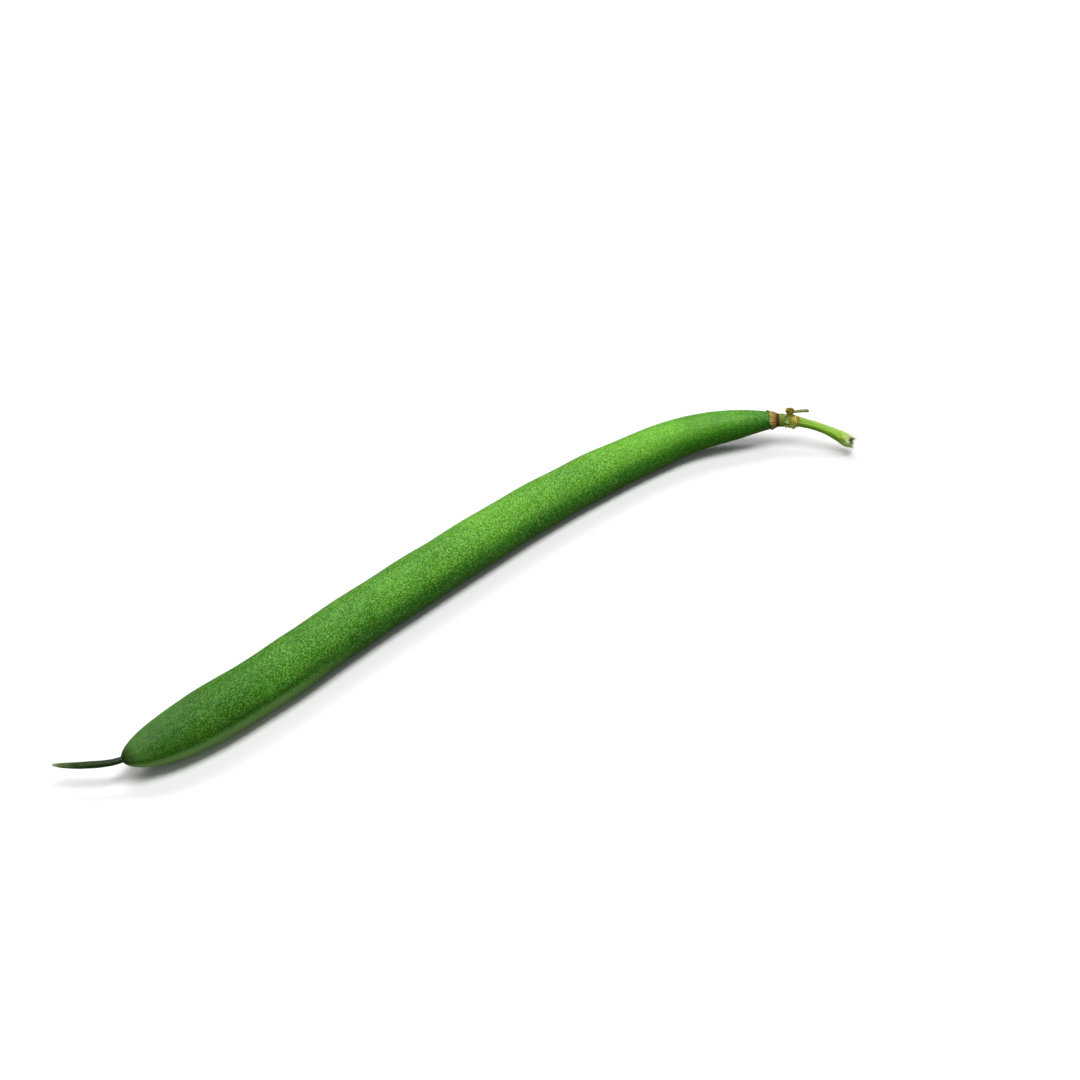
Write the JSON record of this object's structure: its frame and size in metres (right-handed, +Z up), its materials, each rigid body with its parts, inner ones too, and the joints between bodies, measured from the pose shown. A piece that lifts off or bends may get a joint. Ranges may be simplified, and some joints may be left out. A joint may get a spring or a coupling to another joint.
{
  "type": "green bean",
  "caption": "Fresh green bean pod lying on its flank, with its curved beak, dried calyx, broken stalk and a withered bud.",
  "frame": {"origin": "on the surface the bean lies on, under the middle of its bounding box", "axes": "+X along the bean from the beak to the stalk, +Z up out of the surface, +Y across, towards the convex side of its bow"},
  "size_m": [0.1534, 0.0263, 0.0084],
  "materials": {
    "pod_skin": "fresh waxy green skin with a fine down, semi-matt",
    "calyx_dry": "dry papery brown, matt",
    "stalk_skin": "pale yellow-green ribbed stem skin, satin",
    "bud_dry": "dry wrinkled tan brown, matt"
  },
  "bodies": {
    "root": {"pod": "pod_skin", "calyx": "calyx_dry", "stalk": "stalk_skin", "bud": "bud_dry"}
  },
  "joints": []
}
